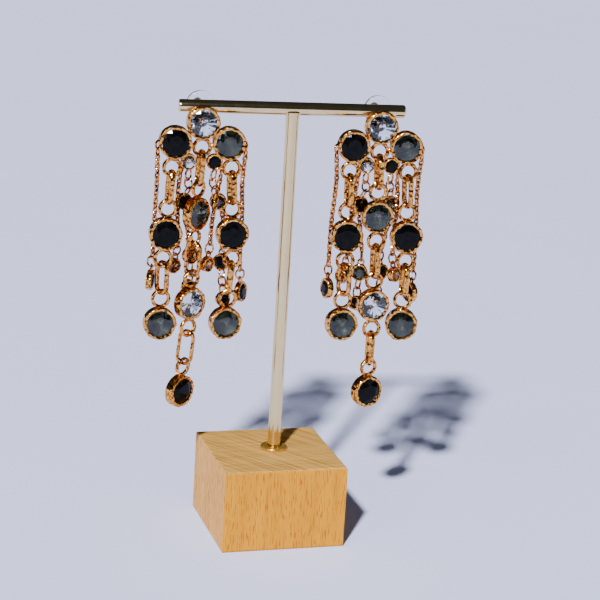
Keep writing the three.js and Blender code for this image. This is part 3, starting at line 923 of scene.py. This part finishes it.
def length_of(line):
    return sum((b - a).length for a, b in zip(line, line[1:]))


def hang_link(body, line, target, step, width, wire, roll, steps=CHAIN_STEPS):
    """One oval link at a distance along a line, long enough to hold its neighbours' wire."""
    walked = 0
    index = 0
    while index < len(line) - 2 and walked + (line[index + 1] - line[index]).length < target:
        walked += (line[index + 1] - line[index]).length
        index += 1
    ahead = line[index + 1] - line[index]
    share = min(1.0, (target - walked) / max(ahead.length, SHORTEST))
    at = line[index] + share * ahead
    down = ahead.normalized()
    across = Vector((1, 0, 0))
    across = (across - across.dot(down) * down).normalized()
    depth = down.cross(across)
    axes = Matrix((across, depth, -down)).transposed().to_4x4()
    turn = Matrix.Rotation(math.radians(roll), 4, "Z")
    link = oval(step + 4 * wire, width, wire, steps, CHAIN_SIDES)
    body.add(link, GOLD, Matrix.Translation(at) @ axes @ turn)


def chain(body, line, pitch, width, wire, twist):
    """Oval links along a line, each turned the other way from the last, so that they interlock."""
    total = length_of(line)
    count = max(1, round(total / pitch))
    step = total / count
    for i in range(count):
        hang_link(body, line, (i + 0.5) * step, step, width, wire, twist if i % 2 else -twist)


def jump_ring(body, line, turn):
    """A round ring at the end of a fine chain, and the small loop of the drop below it."""
    total = length_of(line)
    loop_step = DROP_LOOP_SHARE * total
    ring_step = total - loop_step
    hang_link(body, line, ring_step / 2, ring_step, JUMP_WIDTH, JUMP_WIRE, turn + JUMP_TURN,
              JUMP_STEPS)
    hang_link(body, line, total - loop_step / 2, loop_step, DROP_LOOP_WIDTH, JUMP_WIRE,
              turn + DROP_LOOP_TURN, JUMP_STEPS)


def make_strand(side, key, place):
    """One strand with its drops, on round rings where it is short and on fine chain elsewhere."""
    kind, direction = key.split("_")
    sign = -1 if direction == "left" else 1
    x, y, z = STRAND_TOP[kind]
    route = [Vector((sign * x, y, z))] + [Vector(p) for p in ROUTES[side][key]]
    line = spline(route)
    stops = SMALL_STOPS if kind == "small" else [(len(route) - 1, kind)]
    body = Body()
    previous = 0
    trim = STRAND_START
    for number, ((stop, size), (turn, stone)) in enumerate(zip(stops, DROPS[side][key])):
        radius = DROP_RADIUS[size]
        index = stop * SPLINE_SAMPLES
        tangent = line[min(index + 1, len(line) - 1)] - line[index - 1]
        lean = math.degrees(math.atan2(tangent.x, -tangent.z))
        part = stretch(line, previous, index, trim, radius - CHAIN_BITE)
        if kind == "small" and number != 1 or length_of(part) < 2 * JUMP_ROOM:
            chain(body, part, JUMP_PITCH, JUMP_WIDTH, JUMP_WIRE, JUMP_TWIST)
        else:
            fine = stretch(line, previous, index, trim, radius + JUMP_ROOM)
            chain_end = (fine[-1] - line[previous]).length
            low = stretch(line, previous, index, chain_end, radius - CHAIN_BITE)
            chain(body, fine, CHAIN_PITCH, CHAIN_WIDTH, CHAIN_WIRE, CHAIN_TWIST)
            jump_ring(body, low, turn)
        cup_and_stone(body, radius, stone, number + sign, put(line[index], turn, lean))
        previous = index
        trim = radius - CHAIN_BITE
    body.finish(f"{side}_{key}_chain", f"{side}_{key}_strand", "gold", place)


def make_earring(side):
    place = UPRIGHT @ put((HANG[side], -CLUSTER_BACK, EARRING_Z), TURN[side])
    make_cluster(side, place)
    make_stone(side, "top_stone", "clear", place)
    make_stone(side, "top_left_stone", "black", place @ put((-SIDE_X, 0, SIDE_Z)))
    make_stone(side, "top_right_stone", "grey", place @ put((SIDE_X, 0, SIDE_Z)))
    make_clutch(side, place)
    make_middle(side, place)
    for sign in (-1, 1):
        make_side_column(side, sign, place)
    for key in ROUTES[side]:
        make_strand(side, key, place)


# Stage, light and camera

FLOOR_HALF_WIDTH = 4000
FLOOR_STEPS = 8
SKY_COLOR = (0.62, 0.72, 0.92, 1)
SKY_STRENGTH = 0.05
LIGHT_TARGET = (0, 0, 90)
# Lamps: name, kind, place, energy, colour, and a sun's angle in radians or an area's side in metres
LAMPS = [
    ("key", "SUN", (-410, -660, 720), 9.2, (1.0, 0.975, 0.95), math.radians(3.5)),
    ("soft_left", "AREA", (-650, -450, 500), 1.6, (1, 0.98, 0.95), 0.3),
    ("soft_right", "AREA", (600, -300, 350), 0.6, (0.9, 0.95, 1), 0.4),
]
CAMERA_AT = (-187.40, -635.00, 266.67)
CAMERA_TARGET = (7.51, -0.78, 86.37)
CAMERA_ROLL = 3.454
CAMERA_LENS = 115.67
CAMERA_SENSOR = 36
CAMERA_REACH = 20


def make_stage():
    verts = []
    faces = []
    row = FLOOR_STEPS + 1
    for i in range(row):
        for k in range(row):
            x = FLOOR_HALF_WIDTH * (2 * i / FLOOR_STEPS - 1)
            y = FLOOR_HALF_WIDTH * (2 * k / FLOOR_STEPS - 1)
            verts.append((x * MM, y * MM, 0))
    for i in range(FLOOR_STEPS):
        for k in range(FLOOR_STEPS):
            a = i * row + k
            faces.append((a, a + row, a + row + 1, a + 1))
    mesh = bpy.data.meshes.new("floor")
    mesh.from_pydata(verts, [], faces)
    mesh.materials.append(FLOOR)
    floor = in_scene("floor", mesh)


def make_light():
    world = bpy.data.worlds.new("dim_room")
    world.use_nodes = True
    sky = world.node_tree.nodes["Background"].inputs
    sky["Color"].default_value = SKY_COLOR
    sky["Strength"].default_value = SKY_STRENGTH
    bpy.context.scene.world = world
    for name, kind, at, energy, color, size in LAMPS:
        data = bpy.data.lights.new(name, kind)
        data.energy = energy
        data.color = color
        setattr(data, "angle" if kind == "SUN" else "size", size)
        lamp = in_scene(name, data)
        lamp.location = Vector(at) * MM
        aim = (Vector(LIGHT_TARGET) - Vector(at)).normalized()
        lamp.rotation_euler = aim.to_track_quat("-Z", "Y").to_euler()


def make_camera():
    """The camera that fits the corners of the block and the ends of the bar."""
    at = Vector(CAMERA_AT)
    roll = math.radians(CAMERA_ROLL)
    forward = (Vector(CAMERA_TARGET) - at).normalized()
    right = forward.cross(Vector((0, 0, 1))).normalized()
    up = right.cross(forward)
    rolled_right = math.cos(roll) * right + math.sin(roll) * up
    rolled_up = math.cos(roll) * up - math.sin(roll) * right
    data = bpy.data.cameras.new("camera")
    data.lens = CAMERA_LENS
    data.sensor_width = CAMERA_SENSOR
    data.clip_end = CAMERA_REACH
    camera = in_scene("camera", data)
    axes = Matrix((rolled_right, rolled_up, -forward)).transposed().to_4x4()
    camera.matrix_world = Matrix.Translation(at * MM) @ axes
    bpy.context.scene.camera = camera


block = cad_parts["wood_block"]
block.data.materials.clear()
block.data.materials.append(WOOD)

make_collar()
make_t_bar()
for earring_side in ("left", "right"):
    make_earring(earring_side)
make_stage()
make_light()
make_camera()
